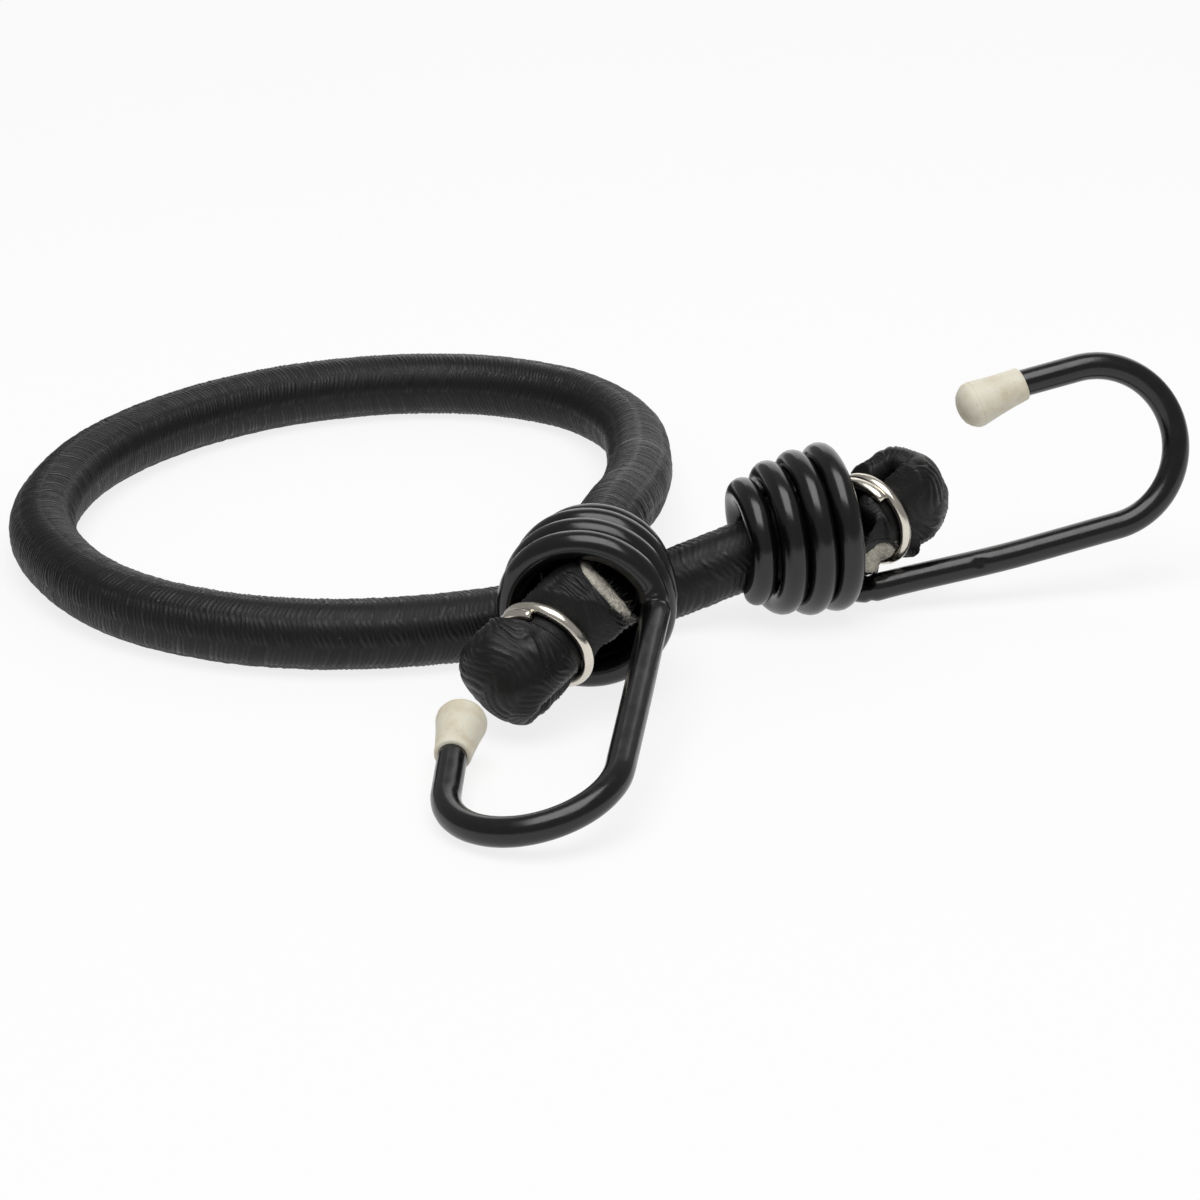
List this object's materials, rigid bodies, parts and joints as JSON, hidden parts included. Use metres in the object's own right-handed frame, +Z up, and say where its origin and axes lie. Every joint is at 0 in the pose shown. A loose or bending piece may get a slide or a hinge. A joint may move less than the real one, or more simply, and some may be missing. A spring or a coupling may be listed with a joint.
{
  "type": "bungee cord",
  "caption": "Elastic cord in a braided sheath, lying in a loose loop, with a coated wire hook coiled round each doubled and clipped end",
  "frame": {"origin": "on the floor under the middle of the footprint", "axes": "+X to the right hook, +Y away from the front hook, +Z up"},
  "size_m": [0.175, 0.18, 0.0345],
  "materials": {
    "sheath": "black braided polypropylene yarn, satin",
    "core": "bundle of off-white latex threads, matt",
    "sleeve": "black vinyl dip coating, satin gloss",
    "steel": "drawn spring steel wire",
    "clip": "bright zinc plated wire",
    "cap": "soft cream vinyl, slightly soiled"
  },
  "bodies": {
    "cord_loop": {"loop_sheath": "sheath", "loop_core": "core", "front_strand_sheath": "sheath", "front_strand_core": "core", "rear_strand_sheath": "sheath", "rear_strand_core": "core"},
    "front_end": {"front_bight_sheath": "sheath", "front_bight_core": "core", "front_clip": "clip"},
    "front_hook": {"front_hook_sleeve": "sleeve", "front_hook_steel": "steel", "front_tip_cap": "cap"},
    "rear_end": {"rear_bight_sheath": "sheath", "rear_bight_core": "core", "rear_clip": "clip"},
    "rear_hook": {"rear_hook_sleeve": "sleeve", "rear_hook_steel": "steel", "rear_tip_cap": "cap"}
  },
  "joints": [
    {"name": "front_stretch", "type": "slide", "parent": "cord_loop", "child": "front_end", "axis": [-0.1236, -0.9923, 0], "range_m": [0, 0.024], "stiffness_N_per_m": 600, "deforming": ["front_strand_sheath", "front_strand_core"]},
    {"name": "front_swivel", "type": "hinge", "parent": "front_end", "child": "front_hook", "pos_m": [-0.00066, -0.03968, 0.0132], "axis": [-0.123, -0.9878, -0.0959], "range_deg": [-90, 80]},
    {"name": "rear_stretch", "type": "slide", "parent": "cord_loop", "child": "rear_end", "axis": [0.9521, 0.3057, 0], "range_m": [0, 0.024], "stiffness_N_per_m": 600, "deforming": ["rear_strand_sheath", "rear_strand_core"]},
    {"name": "rear_swivel", "type": "hinge", "parent": "rear_end", "child": "rear_hook", "pos_m": [0.03804, -0.00173, 0.0129], "axis": [0.9438, 0.303, 0.1323], "range_deg": [-130, 90]}
  ]
}
